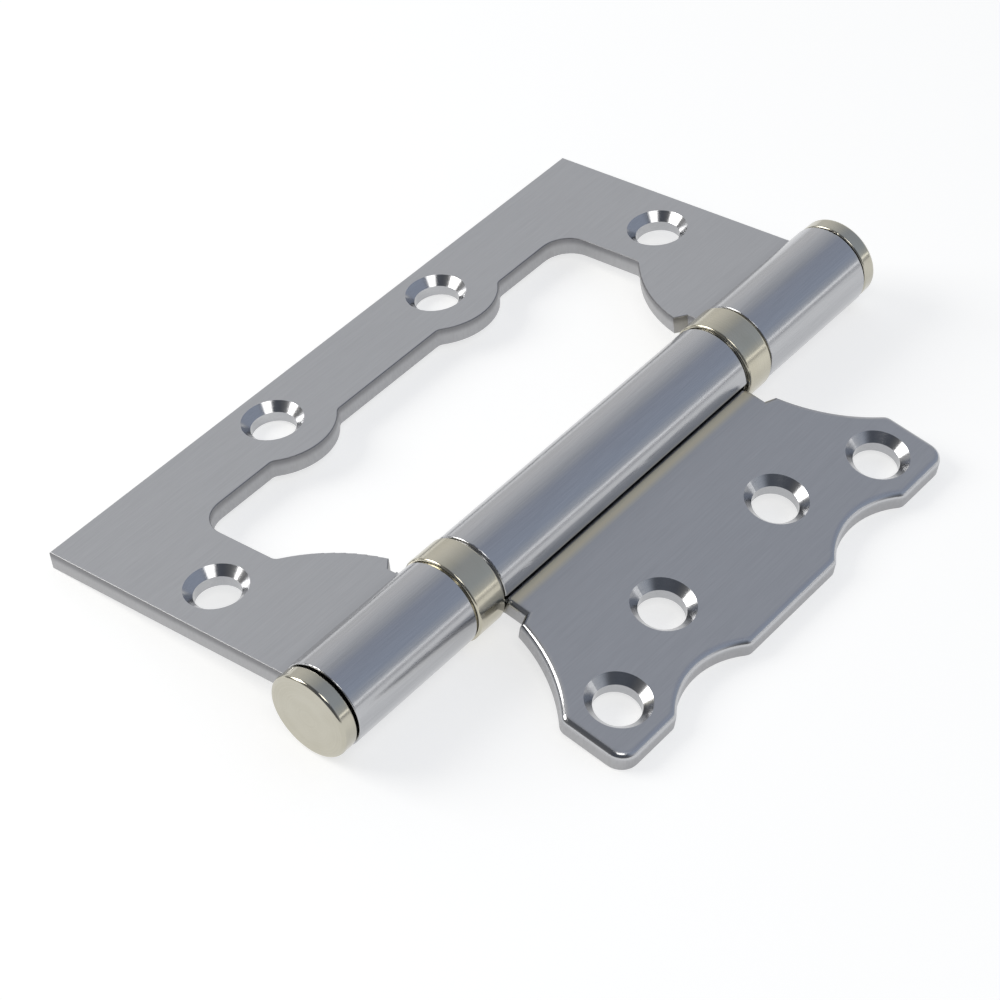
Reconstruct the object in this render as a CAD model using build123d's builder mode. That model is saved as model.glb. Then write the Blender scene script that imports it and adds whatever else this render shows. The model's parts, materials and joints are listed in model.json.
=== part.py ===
from build123d import *
import os
from math import asin, atan2, cos, degrees, hypot, isclose, radians, sin, sqrt

# A non-mortise butterfly hinge with two ball bearings, lying open on a flat surface.
# The pin runs along Y, Z is up, and the hinge rests on both free edges and on its bearings.
# The frame leaf reaches towards -X, the insert leaf, which nests in its window, towards +X.

os.makedirs("parts", exist_ok=True)

# Sheet and leaves, with reaches measured from the pin's axis
sheet = 2.5
leaf_height = 100.0
insert_reach = 30.8
side_gap = 2.9
side_rail = 11.3
end_rail = 14.3
ear_gap = 2.75
leaf_offset = 0.6
frame_edge_round = 0.15
insert_edge_round = 0.9

# Window of the frame leaf and the matching outline of the insert leaf
window_corner = 4.0
window_round = 1.2
pad_rise = 2.7
lobe_radius = 21.1
lobe_centre_reach = 3.7
lobe_overhang = 1.3
lobe_gap = 2.45
shoulder_length = 3.1
relief_width = 1.2
relief_depth = 0.2
ear_corner = 2.5
ear_round = 1.5
neck_length = 2.8
neck_slope = 0.6

# Countersunk screw holes, placed from the edges of their leaf
hole_diameter = 6.0
countersink_diameter = 8.2
countersink_angle = 90.0
frame_end_hole_reach = 23.1
frame_end_hole_margin = 6.8
frame_side_hole_spacing = 32.0
ear_hole_setback = 6.3
ear_hole_margin = 6.65
insert_hole_setback = 11.2
insert_hole_spacing = 22.9

# Rolled barrel
barrel_diameter = 11.6
outer_knuckle = 20.66
seam_gap = 0.4
crease_radius = 0.7
lip_round = 0.4
knuckle_round = 0.25

# Pin and end caps
pin_clearance = 0.05
pin_chamfer = 0.4
pin_end_play = 0.1
cap_setback = 0.1
cap_gap = 0.35
cap_thickness = 2.25
cap_round = 0.5
cap_back_round = 0.25
spigot_length = 6.0
spigot_chamfer = 0.4

# Thrust bearings
ring_proud = 0.2
shell_wall = 0.6
shell_lip = 0.8
shell_round = 0.35
shell_running_gap = 0.35
shell_seat_gap = 0.3
race_thickness = 1.8
race_pin_clearance = 0.1
race_shell_clearance = 0.06
ball_diameter = 1.4
ball_count = 8
ball_clearance = 0.02
track_depth = 0.25
track_relief = 0.08
cage_thickness = 0.5
cage_clearance = 0.08
pocket_clearance = 0.06

# Derived sizes of the sheet parts
barrel_radius = barrel_diameter / 2
bore_radius = barrel_radius - sheet
plate_low = -leaf_offset - sheet / 2
plate_high = plate_low + sheet
root_end = barrel_radius + crease_radius
root_bend = crease_radius + sheet
seam_angle = degrees(asin((plate_high + seam_gap) / barrel_radius))
half_height = leaf_height / 2
window_reach = insert_reach + side_gap
window_height = leaf_height - 2 * end_rail
frame_reach = window_reach + side_rail
insert_height = window_height - 2 * ear_gap
pad_radius = side_rail / 2 + pad_rise

# Derived sizes of the bearings and the pin
ring_radius = barrel_radius + ring_proud
cap_radius = barrel_radius - cap_setback
cap_start = half_height + cap_gap
ball_radius = ball_diameter / 2
track_radius = ball_radius + track_relief
race_gap = ball_diameter + 2 * ball_clearance - 2 * track_depth
knuckle_start = half_height - outer_knuckle
shell_end = knuckle_start - shell_seat_gap
outer_race_face = knuckle_start - shell_lip - race_thickness
inner_race_face = outer_race_face - race_gap
ball_place = (inner_race_face + outer_race_face) / 2
half_middle = inner_race_face - race_thickness
pin_radius = bore_radius - pin_clearance
pin_length = leaf_height - 2 * (spigot_length + pin_end_play)
shell_bore = ring_radius - shell_wall
race_inner = pin_radius + race_pin_clearance
race_outer = shell_bore - race_shell_clearance
pitch_radius = (race_inner + race_outer) / 2


def rest_slope(reach, low_side):
    """Slope of a leaf whose free edge lies on the same surface as the bearings."""
    return asin(ring_radius / hypot(reach, low_side)) - atan2(low_side, reach)


# The origin lies below the middle of the hinge, on the surface that it rests on.
frame_slope = rest_slope(frame_reach, plate_high)
insert_slope = rest_slope(insert_reach, -plate_low)
frame_edge = frame_reach * cos(frame_slope) - plate_low * sin(frame_slope)
insert_edge = insert_reach * cos(insert_slope) + plate_high * sin(insert_slope)
pin_centre = ((frame_edge - insert_edge) / 2, 0, ring_radius)
pin_axis = Axis(pin_centre, (0, 1, 0))

# Leaf planes: local X leads away from the pin, local Z points to the side with the seam.
frame_plane = Plane(
    pin_centre,
    x_dir=(-cos(frame_slope), 0, -sin(frame_slope)),
    z_dir=(sin(frame_slope), 0, -cos(frame_slope)),
)
insert_plane = Plane(
    pin_centre,
    x_dir=(cos(insert_slope), 0, -sin(insert_slope)),
    z_dir=(sin(insert_slope), 0, cos(insert_slope)),
)


def mirrored(reach, height):
    """Two places on a leaf, one each side of the middle of the pin."""
    return [(reach, height), (reach, -height)]


def rolled_section(leaf_plane, place):
    """End view of a rolled knuckle: the roll, its open seam and the root of the sheet."""
    bend_height = plate_low - crease_radius
    bend_reach = sqrt(root_end**2 - bend_height**2)
    bend_angle = degrees(atan2(bend_height, bend_reach))
    bend_centre = (bend_reach, bend_height)
    lip_turn = degrees(asin(lip_round / (barrel_radius - lip_round)))
    lip_angle = seam_angle + lip_turn
    lip_reach = (barrel_radius - lip_round) * cos(radians(lip_angle))
    lip_height = (barrel_radius - lip_round) * sin(radians(lip_angle))
    end_view = Plane(leaf_plane.origin, x_dir=leaf_plane.x_dir, z_dir=(0, -1, 0))
    with BuildSketch(end_view.offset(-place)) as section:
        with BuildLine():
            CenterArc((0, 0), barrel_radius, lip_angle, 360 + bend_angle - lip_angle)
            CenterArc(bend_centre, crease_radius, 180 + bend_angle, -90 - bend_angle)
            Polyline(
                (bend_reach, plate_low),
                (root_end, plate_low),
                (root_end, plate_high),
                (bend_reach, plate_high),
            )
            CenterArc(bend_centre, root_bend, 90, 90 + bend_angle)
            bore = CenterArc((0, 0), bore_radius, bend_angle, seam_angle - bend_angle - 360)
            lip = CenterArc((lip_reach, lip_height), lip_round, lip_angle, -90 - lip_turn)
            Line(bore @ 1, lip @ 1)
        make_face()
    return section.sketch


def roll_ends(leaf):
    """Outer edges at the ends of a leaf's rolled knuckles."""
    round_edges = leaf.edges().filter_by(GeomType.CIRCLE)
    return round_edges.filter_by(lambda edge: isclose(edge.radius, barrel_radius))


# Places shared by both leaves
side_holes = mirrored(window_reach + side_rail / 2, frame_side_hole_spacing / 2)
lobe_tip = barrel_radius + shoulder_length
lobe_tip_height = knuckle_start - lobe_overhang
relief_end = knuckle_start + relief_depth
lobe_centre_height = lobe_tip_height + sqrt(lobe_radius**2 - (lobe_tip - lobe_centre_reach) ** 2)
lobes = mirrored(lobe_centre_reach, lobe_centre_height)

# Outline of the window, with pads round the side holes, lobes and a relief at each knuckle's root
with BuildSketch() as window:
    with Locations((window_reach / 2, 0)):
        Rectangle(window_reach, window_height)
    with Locations(*side_holes):
        Circle(pad_radius, mode=Mode.SUBTRACT)
    side = window.vertices().group_by(Axis.X)[-1].sort_by(Axis.Y)
    fillet(side[1:-1], window_round)
    side = window.vertices().group_by(Axis.X)[-1].sort_by(Axis.Y)
    fillet([side[0], side[-1]], window_corner)
    with Locations(*lobes):
        Circle(lobe_radius, mode=Mode.SUBTRACT)
    ends = window.vertices().group_by(Axis.Y)
    fillet([ends[0].sort_by(Axis.X)[0], ends[-1].sort_by(Axis.X)[0]], window_round)
    with BuildLine():
        shoulder = Polyline(
            (0, 0),
            (lobe_tip, 0),
            (lobe_tip, lobe_tip_height),
            (lobe_tip - relief_width, relief_end),
            (0, relief_end),
            (0, 0),
        )
    make_face()
    with BuildLine():
        mirror(shoulder, about=Plane.XZ)
    make_face()

# Outline of the insert leaf: concave sides, a scalloped free edge and a neck at the barrel
insert_lobe = lobe_radius + lobe_gap
neck_start = barrel_radius + neck_length
neck_end = neck_start + neck_slope
neck_height = lobe_centre_height - sqrt(insert_lobe**2 - (neck_end - lobe_centre_reach) ** 2)
with BuildSketch() as insert_outline:
    with Locations(((root_end + insert_reach) / 2, 0)):
        Rectangle(insert_reach - root_end, insert_height)
    with Locations(*side_holes):
        Circle(pad_radius + side_gap, mode=Mode.SUBTRACT)
    side = insert_outline.vertices().group_by(Axis.X)[-1].sort_by(Axis.Y)
    fillet(side[1:-1], ear_round)
    side = insert_outline.vertices().group_by(Axis.X)[-1].sort_by(Axis.Y)
    fillet([side[0], side[-1]], ear_corner)
    with Locations(*lobes):
        Circle(insert_lobe, mode=Mode.SUBTRACT)
    ends = insert_outline.vertices().group_by(Axis.Y)
    fillet([ends[0].sort_by(Axis.X)[0], ends[-1].sort_by(Axis.X)[0]], ear_round)
    with BuildLine():
        notch = Polyline(
            (0, half_middle),
            (neck_start, half_middle),
            (neck_end, neck_height),
            (neck_end, insert_height),
            (0, insert_height),
            (0, half_middle),
        )
    make_face(mode=Mode.SUBTRACT)
    with BuildLine():
        mirror(notch, about=Plane.XZ)
    make_face(mode=Mode.SUBTRACT)

# Frame leaf, rolled into the two outer knuckles, with its seam on the underside
frame_outward = Axis(pin_centre, frame_plane.x_dir)
frame_seamward = Axis(pin_centre, frame_plane.z_dir)
frame_low_face = frame_plane.offset(plate_low)
frame_screw_face = Plane(frame_low_face.origin, frame_plane.x_dir, -frame_plane.z_dir)
frame_end_holes = mirrored(frame_end_hole_reach, half_height - frame_end_hole_margin)
with BuildPart() as frame_leaf:
    with BuildSketch(frame_low_face):
        with Locations(((root_end + frame_reach) / 2, 0)):
            Rectangle(frame_reach - root_end, leaf_height)
        add(window.sketch, mode=Mode.SUBTRACT)
    extrude(amount=sheet)
    for end_sign in (-1, 1):
        knuckle_middle = end_sign * (knuckle_start + outer_knuckle / 2)
        extrude(rolled_section(frame_plane, knuckle_middle), amount=outer_knuckle / 2, both=True)
    top_face = frame_leaf.faces().filter_by(frame_plane).sort_by(frame_seamward)[0]
    sheet_edges = top_face.edges().sort_by(frame_outward)[2:] + roll_ends(frame_leaf)
    fillet(sheet_edges, frame_edge_round)
    with Locations(frame_screw_face):
        with Locations(*frame_end_holes, *side_holes):
            CounterSinkHole(hole_diameter / 2, countersink_diameter / 2, sheet, countersink_angle)
frame_leaf.part.label = "frame_leaf"
export_step(frame_leaf.part, "parts/frame_leaf.step")

# Insert leaf, rolled into the middle knuckle, with its seam on the upper side
insert_outward = Axis(pin_centre, insert_plane.x_dir)
insert_seamward = Axis(pin_centre, insert_plane.z_dir)
insert_screw_face = insert_plane.offset(plate_high)
ear_holes = mirrored(insert_reach - ear_hole_setback, insert_height / 2 - ear_hole_margin)
insert_holes = mirrored(insert_reach - insert_hole_setback, insert_hole_spacing / 2)
with BuildPart() as insert_leaf:
    with BuildSketch(insert_plane.offset(plate_low)):
        add(insert_outline.sketch)
    extrude(amount=sheet)
    extrude(rolled_section(insert_plane, 0), amount=half_middle, both=True)
    top_face = insert_leaf.faces().filter_by(insert_plane).sort_by(insert_seamward)[-1]
    fillet(top_face.edges().sort_by(insert_outward)[1:], insert_edge_round)
    fillet(roll_ends(insert_leaf), knuckle_round)
    with Locations(insert_screw_face):
        with Locations(*ear_holes, *insert_holes):
            CounterSinkHole(hole_diameter / 2, countersink_diameter / 2, sheet, countersink_angle)
insert_leaf.part.label = "insert_leaf"
export_step(insert_leaf.part, "parts/insert_leaf.step")

# Hinge pin, through every knuckle and both bearings, between the spigots of the end caps
with BuildPart() as hinge_pin:
    with BuildSketch(Plane(pin_centre)) as pin_profile:
        with Locations((pin_radius / 2, 0)):
            Rectangle(pin_radius, pin_length)
        chamfer(pin_profile.vertices().group_by(Axis.X)[-1], pin_chamfer)
    revolve(axis=pin_axis)
hinge_pin.part.label = "hinge_pin"
export_step(hinge_pin.part, "parts/hinge_pin.step")


def ring_section(inner, outer, start, end):
    """Rectangle between two radii and two distances from the middle of the pin."""
    with Locations(((inner + outer) / 2, (start + end) / 2)):
        Rectangle(outer - inner, end - start)


for end, end_sign in (("front", -1), ("back", 1)):
    # Half planes through the pin, with local Y leading out towards this end
    half_plane = Plane(pin_centre, x_dir=(1, 0, 0), z_dir=(0, 0, end_sign))
    ball_plane = Plane((pin_centre[0], end_sign * ball_place, pin_centre[2]), z_dir=(0, 1, 0))

    # End cap, just clear of the outer knuckle, with a spigot pressed into it
    with BuildPart() as end_cap:
        with BuildSketch(half_plane) as cap_profile:
            ring_section(0, bore_radius, half_height - spigot_length, cap_start)
            spigot_end = cap_profile.vertices().group_by(Axis.Y)[0].sort_by(Axis.X)[-1]
            chamfer(spigot_end, spigot_chamfer)
            ring_section(0, cap_radius, cap_start, cap_start + cap_thickness)
            rim = cap_profile.vertices().group_by(Axis.X)[-1].sort_by(Axis.Y)
            fillet(rim[-1], cap_round)
            rim = cap_profile.vertices().group_by(Axis.X)[-1].sort_by(Axis.Y)
            fillet(rim[0], cap_back_round)
        revolve(axis=pin_axis)
    end_cap.part.label = f"end_cap_{end}"
    export_step(end_cap.part, f"parts/end_cap_{end}.step")

    # Bearing shell: a sleeve whose lip bears on the outer knuckle inside a narrow groove
    with BuildPart() as shell:
        with BuildSketch(half_plane) as shell_profile:
            ring_section(shell_bore, ring_radius, half_middle + shell_running_gap, shell_end)
            ring_section(race_inner, ring_radius, knuckle_start - shell_lip, shell_end)
            fillet(shell_profile.vertices().group_by(Axis.X)[-1], shell_round)
            ring_section(race_inner, shell_bore, knuckle_start - shell_lip, knuckle_start)
        revolve(axis=pin_axis)
    shell.part.label = f"bearing_shell_{end}"
    export_step(shell.part, f"parts/bearing_shell_{end}.step")

    # Inner race, bearing on the middle knuckle
    with BuildPart() as inner_race:
        with BuildSketch(half_plane):
            ring_section(race_inner, race_outer, half_middle, inner_race_face)
            with Locations((pitch_radius, inner_race_face - track_depth + track_radius)):
                Circle(track_radius, mode=Mode.SUBTRACT)
        revolve(axis=pin_axis)
    inner_race.part.label = f"inner_race_{end}"
    export_step(inner_race.part, f"parts/inner_race_{end}.step")

    # Outer race, seated on the lip of the shell
    with BuildPart() as outer_race:
        with BuildSketch(half_plane):
            ring_section(race_inner, race_outer, outer_race_face, outer_race_face + race_thickness)
            with Locations((pitch_radius, outer_race_face + track_depth - track_radius)):
                Circle(track_radius, mode=Mode.SUBTRACT)
        revolve(axis=pin_axis)
    outer_race.part.label = f"outer_race_{end}"
    export_step(outer_race.part, f"parts/outer_race_{end}.step")

    # Cage that spaces the balls round the pin
    with BuildPart() as cage:
        with BuildSketch(ball_plane):
            Circle(shell_bore - cage_clearance)
            Circle(pin_radius + cage_clearance, mode=Mode.SUBTRACT)
            with PolarLocations(pitch_radius, ball_count):
                Circle(ball_radius + pocket_clearance, mode=Mode.SUBTRACT)
        extrude(amount=cage_thickness / 2, both=True)
    cage.part.label = f"ball_cage_{end}"
    export_step(cage.part, f"parts/ball_cage_{end}.step")

    # Balls, one in each pocket of the cage
    for index in range(ball_count):
        with BuildPart(ball_plane) as ball:
            with PolarLocations(pitch_radius, 1, start_angle=index * 360 / ball_count):
                Sphere(ball_radius)
        ball.part.label = f"ball_{end}_{index + 1}"
        export_step(ball.part, f"parts/ball_{end}_{index + 1}.step")
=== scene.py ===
# %% [markdown]
# # A butterfly hinge on a pale floor
# The hinge comes in as finished solids: two pressed leaves, a pin, two end caps and two ball bearings.
# The shapes stay as they are, and this lesson adds what metal needs to look like metal: finishes with grain
# and gloss, a studio to reflect, a floor and a camera.

# %% Load the imported hinge
import json
import math

import bpy
from mathutils import Matrix, Vector


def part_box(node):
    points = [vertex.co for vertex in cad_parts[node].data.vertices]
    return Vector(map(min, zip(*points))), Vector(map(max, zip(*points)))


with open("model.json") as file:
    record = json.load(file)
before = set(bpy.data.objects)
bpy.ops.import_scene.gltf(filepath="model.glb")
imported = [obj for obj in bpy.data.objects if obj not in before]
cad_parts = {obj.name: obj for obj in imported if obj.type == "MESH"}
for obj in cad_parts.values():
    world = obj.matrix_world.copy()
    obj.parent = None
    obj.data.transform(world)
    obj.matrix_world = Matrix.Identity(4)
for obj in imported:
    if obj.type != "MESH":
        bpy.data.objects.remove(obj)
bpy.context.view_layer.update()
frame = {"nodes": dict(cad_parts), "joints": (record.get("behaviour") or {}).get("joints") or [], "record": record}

nodes = frame["nodes"]

# %% [markdown]
# ## Where the pin is
# The rolled barrel and the flat leaves are one sheet, but the barrel is polished and the flats are brushed.
# A finish can tell them apart by the distance to the pin's axis, and the joint says where that axis is, so
# the number is read from the frame and isn't typed again. The record also says where the screw holes are.

# %% Read the pin's axis, the slope of each leaf and its screw holes
MM = 1000.0
swing = next(joint for joint in frame["joints"] if joint["name"] == "leaf_swing")
pin_x, _, pin_z = swing["pos_m"]
mounts = {mount["name"]: mount for mount in frame["record"]["mounts"]}
frame_up = [-c for c in mounts["frame_back"]["axis"]]
insert_up = [-c for c in mounts["insert_back"]["axis"]]


def screw_holes(*patterns):
    """The middle of each screw hole on a leaf's back, in millimetres from the pin."""
    holes = []
    for name in patterns:
        x, _, z = mounts[name]["pos_m"]
        half_pitch = mounts[name]["dims"]["pcd_mm"] / 2
        holes += [((x - pin_x) * MM, side * half_pitch, (z - pin_z) * MM) for side in (-1, 1)]
    return holes


frame_holes = screw_holes("frame_end_screws", "frame_side_screws")
insert_holes = screw_holes("insert_ear_screws", "insert_inner_screws")
print("pin at", pin_x, pin_z, "holes", len(frame_holes), len(insert_holes))

# %% [markdown]
# ## Shader maths as Python
# A finish is a sum of simple things: streaks, a mask, a little noise. Wiring those by hand hides the idea,
# so one small class holds a socket, and plus, minus and times add the Math nodes, from either side. Any other
# node comes from one method, which sets the node's settings first and then its sockets.


# %% A socket that understands arithmetic
class Shade:
    """A socket in a node tree. Arithmetic on it adds Math nodes to the tree."""

    def __init__(self, tree, socket=None):
        self.tree = tree
        self.socket = socket

    def node(self, kind, settings=None, inputs=None, output=0):
        made = self.tree.nodes.new("ShaderNode" + kind)
        for name, value in (settings or {}).items():
            if name != "stops":
                setattr(made, name, value)
                continue
            made.color_ramp.elements[0].position, made.color_ramp.elements[0].color = value[0]
            made.color_ramp.elements[1].position, made.color_ramp.elements[1].color = value[-1]
            for position, color in value[1:-1]:
                made.color_ramp.elements.new(position).color = color
        for name, value in (inputs or {}).items():
            if isinstance(value, Shade):
                self.tree.links.new(value.socket, made.inputs[name])
            else:
                made.inputs[name].default_value = value
        return Shade(self.tree, made.outputs[output] if made.outputs else None)

    def maths(self, operation, *values):
        return self.node("Math", {"operation": operation}, dict(enumerate(values)))

    def __add__(self, other):
        return self.maths("ADD", self, other)

    def __sub__(self, other):
        return self.maths("SUBTRACT", self, other)

    def __rsub__(self, other):
        return self.maths("SUBTRACT", other, self)

    def __mul__(self, other):
        return self.maths("MULTIPLY", self, other)

    __radd__ = __add__
    __rmul__ = __mul__

    def least(self, values):
        """The smallest of several values."""
        low, *others = values
        for value in others:
            low = self.maths("MINIMUM", low, value)
        return low

    def rise(self, start, end):
        """0 below start and 1 above end, with a smooth step between them."""
        settings = {"interpolation_type": "SMOOTHSTEP", "clamp": True}
        return self.node("MapRange", settings, {"Value": self, "From Min": start, "From Max": end})


print("shader helper ready")

# %% [markdown]
# ## Grain that follows the tool
# Brushing leaves scratches a tenth of a millimetre wide and many millimetres long. Noise is round, so the
# coordinates are squeezed across the grain and stretched along it before the noise reads them. Object
# coordinates are used because they stay with the leaf when it swings.

# %% Coordinates, streaks and mixing
SOFT, FINE, FINEST = 2.0, 3.0, 4.0
MIX_FACTOR, MIX_LOW, MIX_HIGH, MIX_COLOUR = 0, 6, 7, 2


def new_finish(name):
    """A node material with its Principled shader, and the tree's starting point."""
    finish = bpy.data.materials.new(name)
    finish.use_nodes = True
    start = Shade(finish.node_tree)
    return finish, start, finish.node_tree.nodes["Principled BSDF"]


def from_pin(start):
    """Object coordinates in millimetres, with the pin's axis at zero."""
    place = start.node("TexCoord", output="Object")
    pin = start.node("VectorMath", {"operation": "SUBTRACT"}, {0: place, 1: (pin_x, 0, pin_z)})
    return start.node("VectorMath", {"operation": "SCALE"}, {0: pin, "Scale": MM})


def axes(start, vector):
    """The three parts of a vector, each as a value."""
    split = start.node("SeparateXYZ", inputs={0: vector}).socket.node
    return [Shade(start.tree, socket) for socket in split.outputs]


def distance_to_axis(start, place):
    """How far a place is from the pin's axis."""
    x, _, z = axes(start, place)
    return start.maths("SQRT", x * x + z * z)


def along_normal(start, vector, normal):
    """How far a vector goes along a leaf's normal."""
    return start.node("VectorMath", {"operation": "DOT_PRODUCT"}, {0: vector, 1: normal}, output="Value")


def noise(start, place, squeeze, detail=FINE):
    """Noise from 0 to 1, with a number of grains per millimetre along each axis."""
    scaled = start.node("VectorMath", {"operation": "MULTIPLY"}, {0: place, 1: squeeze})
    return start.node("TexNoise", inputs={"Vector": scaled, "Scale": 1.0, "Detail": detail})


def blend(start, mask, low, high):
    """One colour turning into another as the mask goes from 0 to 1."""
    sockets = {MIX_FACTOR: mask, MIX_LOW: low, MIX_HIGH: high}
    return start.node("Mix", {"data_type": "RGBA"}, sockets, output=MIX_COLOUR)


def wire(shader, **sockets):
    """Links values to the shader, and sets plain numbers on its own sockets."""
    for name, value in sockets.items():
        socket = shader.inputs[name.replace("_", " ")]
        if isinstance(value, Shade):
            value.tree.links.new(value.socket, socket)
        else:
            socket.default_value = value


def relief(start, height, depth):
    """Bump of a given depth in metres."""
    return start.node("Bump", inputs={"Height": height, "Distance": depth, "Strength": 1.0})


print("grain helpers ready")

# %% [markdown]
# ## Satin chrome on pressed sheet
# Both leaves are punched from brushed sheet and plated. The flats keep the brushing, which runs along the
# pin. The barrel was polished after rolling, so it mirrors the studio in long bands. The countersinks are
# bright too, with their bores. The walls that the punch cut are torn and dull. The insert leaf has soft
# rolled edges that shine. The frame leaf has sharp, dull edges, and painted shade darkens them and a band a
# little way down its walls. Beside the seam the insert leaf carries a warm painted reflection of the barrel,
# and the frame leaf is painted in its dark flat tone there, which is painted shade. Each zone is a mask, by
# distance in millimetres or by how far the surface leans: 1 lies flat in the leaf, 0 is a wall.

# %% The zones and tones of a leaf
FLAT_DARK, FLAT_LIGHT = (0.46, 0.465, 0.48, 1), (0.52, 0.525, 0.54, 1)
# The dark edge tone of the frame leaf is painted shade on its edges and wall tops, not a burr's colour.
# The warm tone beside the insert leaf's seam is a painted reflection of the barrel, not the plate's own colour.
CUT_TONE, EDGE_SHADE_TONE, SEAM_REFLECTION_TONE = (0.43, 0.43, 0.44, 1), (0.25, 0.25, 0.26, 1), (0.72, 0.655, 0.5, 1)
barrel_reach = (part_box("bearing_shell_front")[1].z - pin_z) * MM
BARREL_ZONE = (barrel_reach - 0.15, barrel_reach)
SEAM_PAINT_ZONE = (barrel_reach + 0.5, barrel_reach + 1.7)
CONE_ZONE, WALL_TOP_ZONE = (4.9, 5.0), (1.2, 2.2)
WALL_LEAN, EDGE_LEAN, TOP_LEAN = (0.12, 0.3), (0.86, 0.985), (0.5, 0.9)
print("barrel reaches", barrel_reach, "mm from the pin")

# %% [markdown]
# ## Grain and gloss of the sheet
# Streaks and hairs are the brushing, tears are what the punch left on the walls, and clouds are where the
# plating took unevenly. Each zone has a roughness of its own, and each kind of mark adds some haze to it. The
# bump is a micrometre or two deep, because the light only has to catch it.

# %% The marks on a leaf and what they add
STREAKS, HAIRS, TEARS, CLOUDS = (7.0, 0.16, 7.0), (22.0, 0.5, 22.0), (5.0, 5.0, 0.8), (0.06, 0.05, 0.06)
STREAK_SHARE, GRAIN_CONTRAST, CUT_COVER = 0.65, (0.25, 0.75), 0.6
FLAT_GLOSS, GRAIN_HAZE, CLOUD_HAZE = 0.27, 0.12, 0.06
BARREL_GLOSS, STREAK_HAZE, POLISH_HAZE = 0.13, 0.06, 0.05
CONE_GLOSS, HAIR_HAZE, CUT_GLOSS, TEAR_HAZE = 0.15, 0.06, 0.34, 0.22
BURR_GLOSS, ROLLED_GLOSS = 0.45, 0.14
POLISH, TEAR_HEIGHT, GRAIN_DEPTH = 0.8, 2.0, 0.0000015
print("grain of", GRAIN_DEPTH * MM, "mm")


# %% The satin finish of a leaf
def satin_leaf(name, leaf_up, holes, edge_polish_and_shade, edge_gloss, seam_painted_light_tone):
    """Satin chrome for one leaf, which is told by its normal and its screw holes."""
    finish, start, shader = new_finish(name)
    place = from_pin(start)
    radius = distance_to_axis(start, place)
    lean = along_normal(start, start.node("TexCoord", output="Normal"), leaf_up)
    steep = start.maths("ABSOLUTE", lean)
    climb = along_normal(start, place, leaf_up) - Vector(holes[0]).dot(Vector(leaf_up))
    reach = [start.node("VectorMath", {"operation": "DISTANCE"}, {0: place, 1: hole}, 1) for hole in holes]

    barrel = 1 - radius.rise(*BARREL_ZONE)
    # Beside the seam: a warm painted reflection of the barrel on the insert leaf, painted shade in the frame
    # leaf's dark flat tone.
    seam_painted_light = (1 - radius.rise(*SEAM_PAINT_ZONE)) * (1 - barrel) * lean.rise(*TOP_LEAN)
    cone = 1 - start.least(reach).rise(*CONE_ZONE)
    cut = (1 - steep.rise(*WALL_LEAN)) * (1 - barrel) * (1 - cone)
    drawn = (1 - steep.rise(*EDGE_LEAN)) * (1 - cut) * (1 - barrel)
    edge = drawn * (1 - cone)
    # The top band of each cut wall takes the edge tone: painted shade on the frame leaf, the light flat tone on
    # the insert leaf.
    wall_top_band = cut * climb.rise(*WALL_TOP_ZONE)

    streak = noise(start, place, STREAKS)
    hair = noise(start, place, HAIRS, SOFT)
    cloud = noise(start, place, CLOUDS, SOFT)
    tear = noise(start, place, TEARS)
    grain = streak * STREAK_SHARE + hair * (1 - STREAK_SHARE)

    tone = blend(start, grain.rise(*GRAIN_CONTRAST), FLAT_DARK, FLAT_LIGHT)
    # Here the seam strip gets its painted light: a warm reflection on the insert leaf, shade on the frame leaf.
    tone = blend(start, seam_painted_light, tone, seam_painted_light_tone)
    # Edges take the edge tone: painted shade on the frame leaf, the light flat tone on the insert leaf.
    tone = blend(start, edge, tone, edge_polish_and_shade)
    tone = blend(start, cut * (1 + tear) * CUT_COVER, tone, CUT_TONE)
    tone = blend(start, wall_top_band, tone, edge_polish_and_shade)

    flat_gloss = FLAT_GLOSS + grain * GRAIN_HAZE + cloud * CLOUD_HAZE
    barrel_gloss = BARREL_GLOSS + streak * STREAK_HAZE + cloud * POLISH_HAZE
    drawn_gloss = edge * edge_gloss + (1 - edge) * CONE_GLOSS + hair * HAIR_HAZE
    cut_gloss = CUT_GLOSS + tear * TEAR_HAZE
    rough = flat_gloss * (1 - barrel) + barrel_gloss * barrel
    rough = rough * (1 - drawn) + drawn_gloss * drawn
    rough = rough * (1 - cut) + cut_gloss * cut

    height = grain * (1 - barrel * POLISH) * (1 - drawn) + tear * cut * TEAR_HEIGHT
    wire(shader, Base_Color=tone, Metallic=1.0, Roughness=rough, Normal=relief(start, height, GRAIN_DEPTH))
    return finish


# The frame leaf is painted darker next to its seam; the insert leaf gets a warm painted reflection there.
# The frame leaf's edges and wall tops get painted shade from the dark edge tone.
frame_satin = satin_leaf("frame_leaf_satin", frame_up, frame_holes, EDGE_SHADE_TONE, BURR_GLOSS, FLAT_DARK)
insert_satin = satin_leaf("insert_leaf_satin", insert_up, insert_holes, FLAT_LIGHT, ROLLED_GLOSS, SEAM_REFLECTION_TONE)
print("leaf finishes", frame_satin.name, insert_satin.name)

# %% [markdown]
# ## Warm nickel on turned pieces
# The caps and the bearing shells were turned on a lathe and plated with nickel, which is yellower than
# chrome, the shells a little more than the caps. A lathe tool leaves fine rings round the axis, so the noise
# reads only the distance to the pin and the place along it, and every mark closes on itself.

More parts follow.
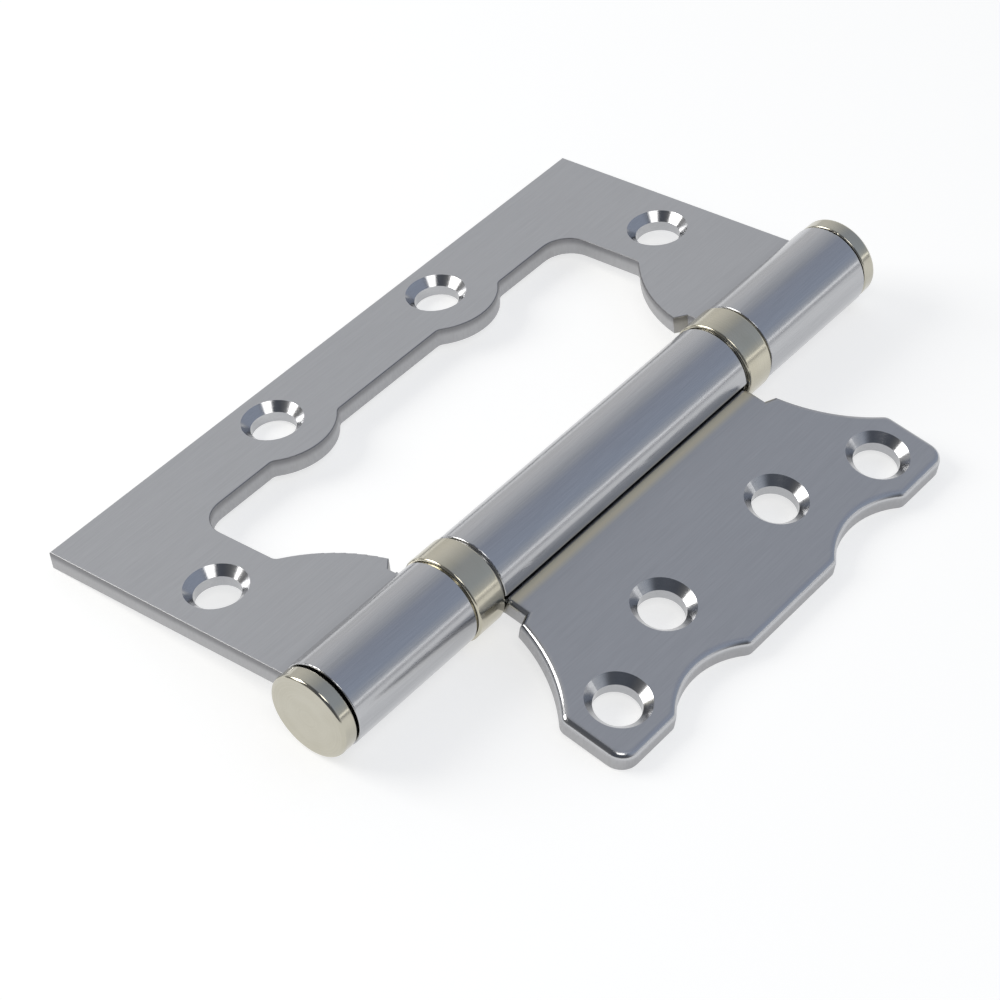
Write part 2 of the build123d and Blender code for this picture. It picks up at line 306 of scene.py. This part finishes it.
# %% The finishes of the turned pieces
CAP_DARK, CAP_LIGHT = (0.5, 0.478, 0.4, 1), (0.55, 0.53, 0.455, 1)
SHELL_DARK, SHELL_LIGHT = (0.54, 0.51, 0.41, 1), (0.6, 0.57, 0.475, 1)
STEEL_DARK, STEEL_LIGHT = (0.42, 0.42, 0.43, 1), (0.56, 0.56, 0.57, 1)
RACE_DARK, RACE_LIGHT = (0.5, 0.5, 0.5, 1), (0.64, 0.64, 0.64, 1)
SMEARS, LATHE_SHARE, CONTRAST = (0.25, 0.25, 0.25), 0.5, (0.3, 0.7)
LATHE_HAZE, SMEAR_HAZE, LATHE_DEPTH = 0.05, 0.07, 0.0000006


def turned(name, dark, light, gloss, marks):
    """A lathe finish with a number of marks per millimetre."""
    finish, start, shader = new_finish(name)
    place = from_pin(start)
    _, along, _ = axes(start, place)
    rings = start.node("CombineXYZ", inputs={0: distance_to_axis(start, place), 1: along})
    lathe = noise(start, rings, (marks, marks, 1.0))
    smear = noise(start, place, SMEARS, SOFT)
    mixed = lathe * LATHE_SHARE + smear * (1 - LATHE_SHARE)
    tone = blend(start, mixed.rise(*CONTRAST), dark, light)
    rough = gloss + lathe * LATHE_HAZE + smear * SMEAR_HAZE
    wire(shader, Base_Color=tone, Metallic=1.0, Roughness=rough, Normal=relief(start, lathe, LATHE_DEPTH))
    return finish


cap_nickel = turned("polished_cap_nickel", CAP_DARK, CAP_LIGHT, gloss=0.08, marks=9.0)
shell_nickel = turned("ground_shell_nickel", SHELL_DARK, SHELL_LIGHT, gloss=0.12, marks=7.0)
drawn_steel = turned("drawn_pin_steel", STEEL_DARK, STEEL_LIGHT, gloss=0.24, marks=5.0)
ground_steel = turned("ground_race_steel", RACE_DARK, RACE_LIGHT, gloss=0.16, marks=14.0)
print("turned finishes", cap_nickel.name, shell_nickel.name, drawn_steel.name, ground_steel.name)

# %% [markdown]
# ## Balls and cages
# The balls are lapped steel, bright with a few fine scuffs in every direction. The cages are moulded nylon,
# off-white and slightly mottled, with the soft sheen of a moulding.

# %% The finishes inside the bearings
BALL_DARK, BALL_LIGHT = (0.66, 0.66, 0.67, 1), (0.76, 0.76, 0.77, 1)
NYLON_DARK, NYLON_LIGHT = (0.74, 0.72, 0.64, 1), (0.86, 0.85, 0.78, 1)
SCUFF_HAZE, SCUFF_DEPTH, MOULD_DEPTH = 0.12, 0.0000004, 0.000004


def mottled(name, dark, light, gloss, metal, grains, depth):
    """A finish without a direction, with a number of grains per millimetre."""
    finish, start, shader = new_finish(name)
    place = from_pin(start)
    scuff = noise(start, place, (grains, grains, grains), FINEST)
    tone = blend(start, scuff.rise(*CONTRAST), dark, light)
    rough = gloss + scuff * SCUFF_HAZE
    wire(shader, Base_Color=tone, Metallic=metal, Roughness=rough, Normal=relief(start, scuff, depth))
    return finish


lapped_steel = mottled(
    "lapped_ball_steel", BALL_DARK, BALL_LIGHT, gloss=0.05, metal=1.0, grains=3.0, depth=SCUFF_DEPTH)
cage_nylon = mottled(
    "moulded_cage_nylon", NYLON_DARK, NYLON_LIGHT, gloss=0.4, metal=0.0, grains=2.0, depth=MOULD_DEPTH)
print("bearing finishes", lapped_steel.name, cage_nylon.name)

# %% [markdown]
# ## Give every piece its finish
# A piece's name says what it is, so the start of the name picks the finish. The slots of the solids are
# filled, and nothing else about them is touched.

# %% Assign the finishes
finishes = {
    "frame_leaf": frame_satin,
    "insert_leaf": insert_satin,
    "hinge_pin": drawn_steel,
    "end_cap": cap_nickel,
    "bearing_shell": shell_nickel,
    "inner_race": ground_steel,
    "outer_race": ground_steel,
    "ball_cage": cage_nylon,
    "ball": lapped_steel,
}
for name, piece in nodes.items():
    start_of_name = next(key for key in finishes if name.startswith(key))
    if not piece.material_slots:
        piece.data.materials.append(None)
    for slot in piece.material_slots:
        slot.material = finishes[start_of_name]
print("finished pieces", len(nodes))

# %% [markdown]
# ## The floor
# The hinge lies on a white sweep. The floor is a real diffuse surface, so that it takes the hinge's shadow.
# A little glow, seen by the camera and by mirrors alike, lifts the lit part to paper white without putting
# any more light on the metal.

# %% Lay the floor
FLOOR_SIZE, FLOOR_TONE, FLOOR_GLOW, WHITE = 4.0, (0.52, 0.52, 0.51, 1), 0.63, (1, 1, 1, 1)
bpy.ops.object.select_all(action="DESELECT")
bpy.ops.mesh.primitive_plane_add(size=FLOOR_SIZE, location=(0, 0, 0))
floor = bpy.context.active_object
floor.name = "floor"
paper = bpy.data.materials.new("white_sweep")
paper.use_nodes = True
paper.node_tree.nodes.clear()
start = Shade(paper.node_tree)
path = start.node("LightPath").socket.node
seen = sum(Shade(start.tree, path.outputs[f"Is {ray} Ray"]) for ray in ("Camera", "Glossy", "Transmission"))
matt = start.node("BsdfDiffuse", inputs={"Color": FLOOR_TONE})
glow = start.node("Emission", inputs={"Color": WHITE, "Strength": seen.rise(0, 1) * FLOOR_GLOW})
start.node("OutputMaterial", inputs={"Surface": start.node("AddShader", inputs={0: matt, 1: glow})})
floor.data.materials.append(paper)
print("floor", FLOOR_SIZE, "m wide")

# %% [markdown]
# ## The studio that the metal reflects
# Bare metal shows little of its own: the bands along the barrel are pictures of the room. The room is dim
# and a little blue overhead and lighter towards the sides, so the world's colour follows the angle of a
# direction round the pin. In front, where the photographer stands, it is darker, and that puts the crisp
# dark lines on rims and countersinks. Lamps alone would leave the metal black between them.

# %% Colour the room by its angle round the pin
ROOM = [
    (0.0, (0.54, 0.54, 0.55, 1)),
    (0.1, (0.51, 0.54, 0.59, 1)),
    (0.2, (0.4, 0.45, 0.55, 1)),
    (0.5, (0.38, 0.415, 0.5, 1)),
    (0.6, (0.49, 0.51, 0.55, 1)),
    (0.75, (0.68, 0.69, 0.71, 1)),
    (0.87, (0.78, 0.78, 0.785, 1)),
    (1.0, (0.72, 0.72, 0.72, 1)),
]
FRONT_LEVEL, FRONT_FADE = 0.25, (-0.3, 0.2)
world = bpy.data.worlds.new("studio_room")
bpy.context.scene.world = world
world.use_nodes = True
world.node_tree.nodes.clear()
start = Shade(world.node_tree)
x, y, z = axes(start, start.node("TexCoord", output="Generated"))
turn = start.maths("ARCTAN2", z, x) * (1 / math.pi)
tint = start.node("ValToRGB", {"stops": ROOM}, {0: turn})
strength = FRONT_LEVEL + (1 - FRONT_LEVEL) * y.rise(*FRONT_FADE)
room = start.node("Background", inputs={"Color": tint, "Strength": strength})
start.node("OutputWorld", inputs={"Surface": room})
print("room stops", len(ROOM))

# %% [markdown]
# ## Three softboxes
# The bright patches in the countersinks show where the lamps stood: one above the camera and one low on the
# left. The narrow light stripe along the barrel is a strip light low at the back on the right. Each lamp is
# given by its direction from the hinge, its size and how bright its face is, and its power follows from them.

# %% Hang the softboxes
LAMP_DISTANCE, LAMP_TINT = 0.7, (1.0, 0.98, 0.94)
LAMPS = {
    "softbox_above": {"azimuth": 50, "elevation": 60, "size": (0.3, 0.26), "face": 2.8},
    "softbox_left": {"azimuth": -60, "elevation": 33, "size": (0.38, 0.36), "face": 6.0},
    "strip_behind": {"azimuth": 121, "elevation": 9, "size": (0.5, 0.05), "face": 1.0},
}


def direction(azimuth, elevation):
    """Unit vector towards a place round the hinge: azimuth 0 is in front, 90 is on the right."""
    turn, lift = math.radians(azimuth), math.radians(elevation)
    return Vector((math.sin(turn) * math.cos(lift), -math.cos(turn) * math.cos(lift), math.sin(lift)))


for name, lamp in LAMPS.items():
    towards = direction(lamp["azimuth"], lamp["elevation"])
    bpy.ops.object.light_add(type="AREA", location=towards * LAMP_DISTANCE)
    softbox = bpy.context.active_object
    softbox.name = name
    softbox.rotation_euler = towards.to_track_quat("Z", "Y").to_euler()
    softbox.data.shape = "RECTANGLE"
    softbox.data.size, softbox.data.size_y = lamp["size"]
    softbox.data.color = LAMP_TINT
    softbox.data.energy = lamp["face"] * math.pi * lamp["size"][0] * lamp["size"][1]
    softbox.visible_camera = False
print("lamps", list(LAMPS))

# %% [markdown]
# ## The camera
# The photograph was taken from the right, high up, with a long lens. The place, the turn and the focal length
# were solved from the hinge's own edges, holes and barrel. A slight roll is part of the view.

# %% Set the camera
CAMERA_PLACE = (0.17005, -0.20995, 0.25783)
CAMERA_AZIMUTH, CAMERA_ELEVATION, CAMERA_ROLL = 40.317, 44.052, -1.18
CAMERA_LENS, CAMERA_NEAR = 107.09, 0.01
back = direction(CAMERA_AZIMUTH, CAMERA_ELEVATION)
level = direction(CAMERA_AZIMUTH + 90, 0)
upright = back.cross(level)
roll = math.radians(CAMERA_ROLL)
right = level * math.cos(roll) + upright * math.sin(roll)
bpy.ops.object.camera_add()
camera = bpy.context.active_object
turned_view = Matrix((right, back.cross(right), back)).transposed().to_4x4()
camera.matrix_world = Matrix.Translation(CAMERA_PLACE) @ turned_view
camera.data.lens = CAMERA_LENS
camera.data.clip_start = CAMERA_NEAR
bpy.context.scene.camera = camera
bpy.context.scene.view_settings.view_transform = "Standard"
print("camera", CAMERA_PLACE, "lens", CAMERA_LENS)
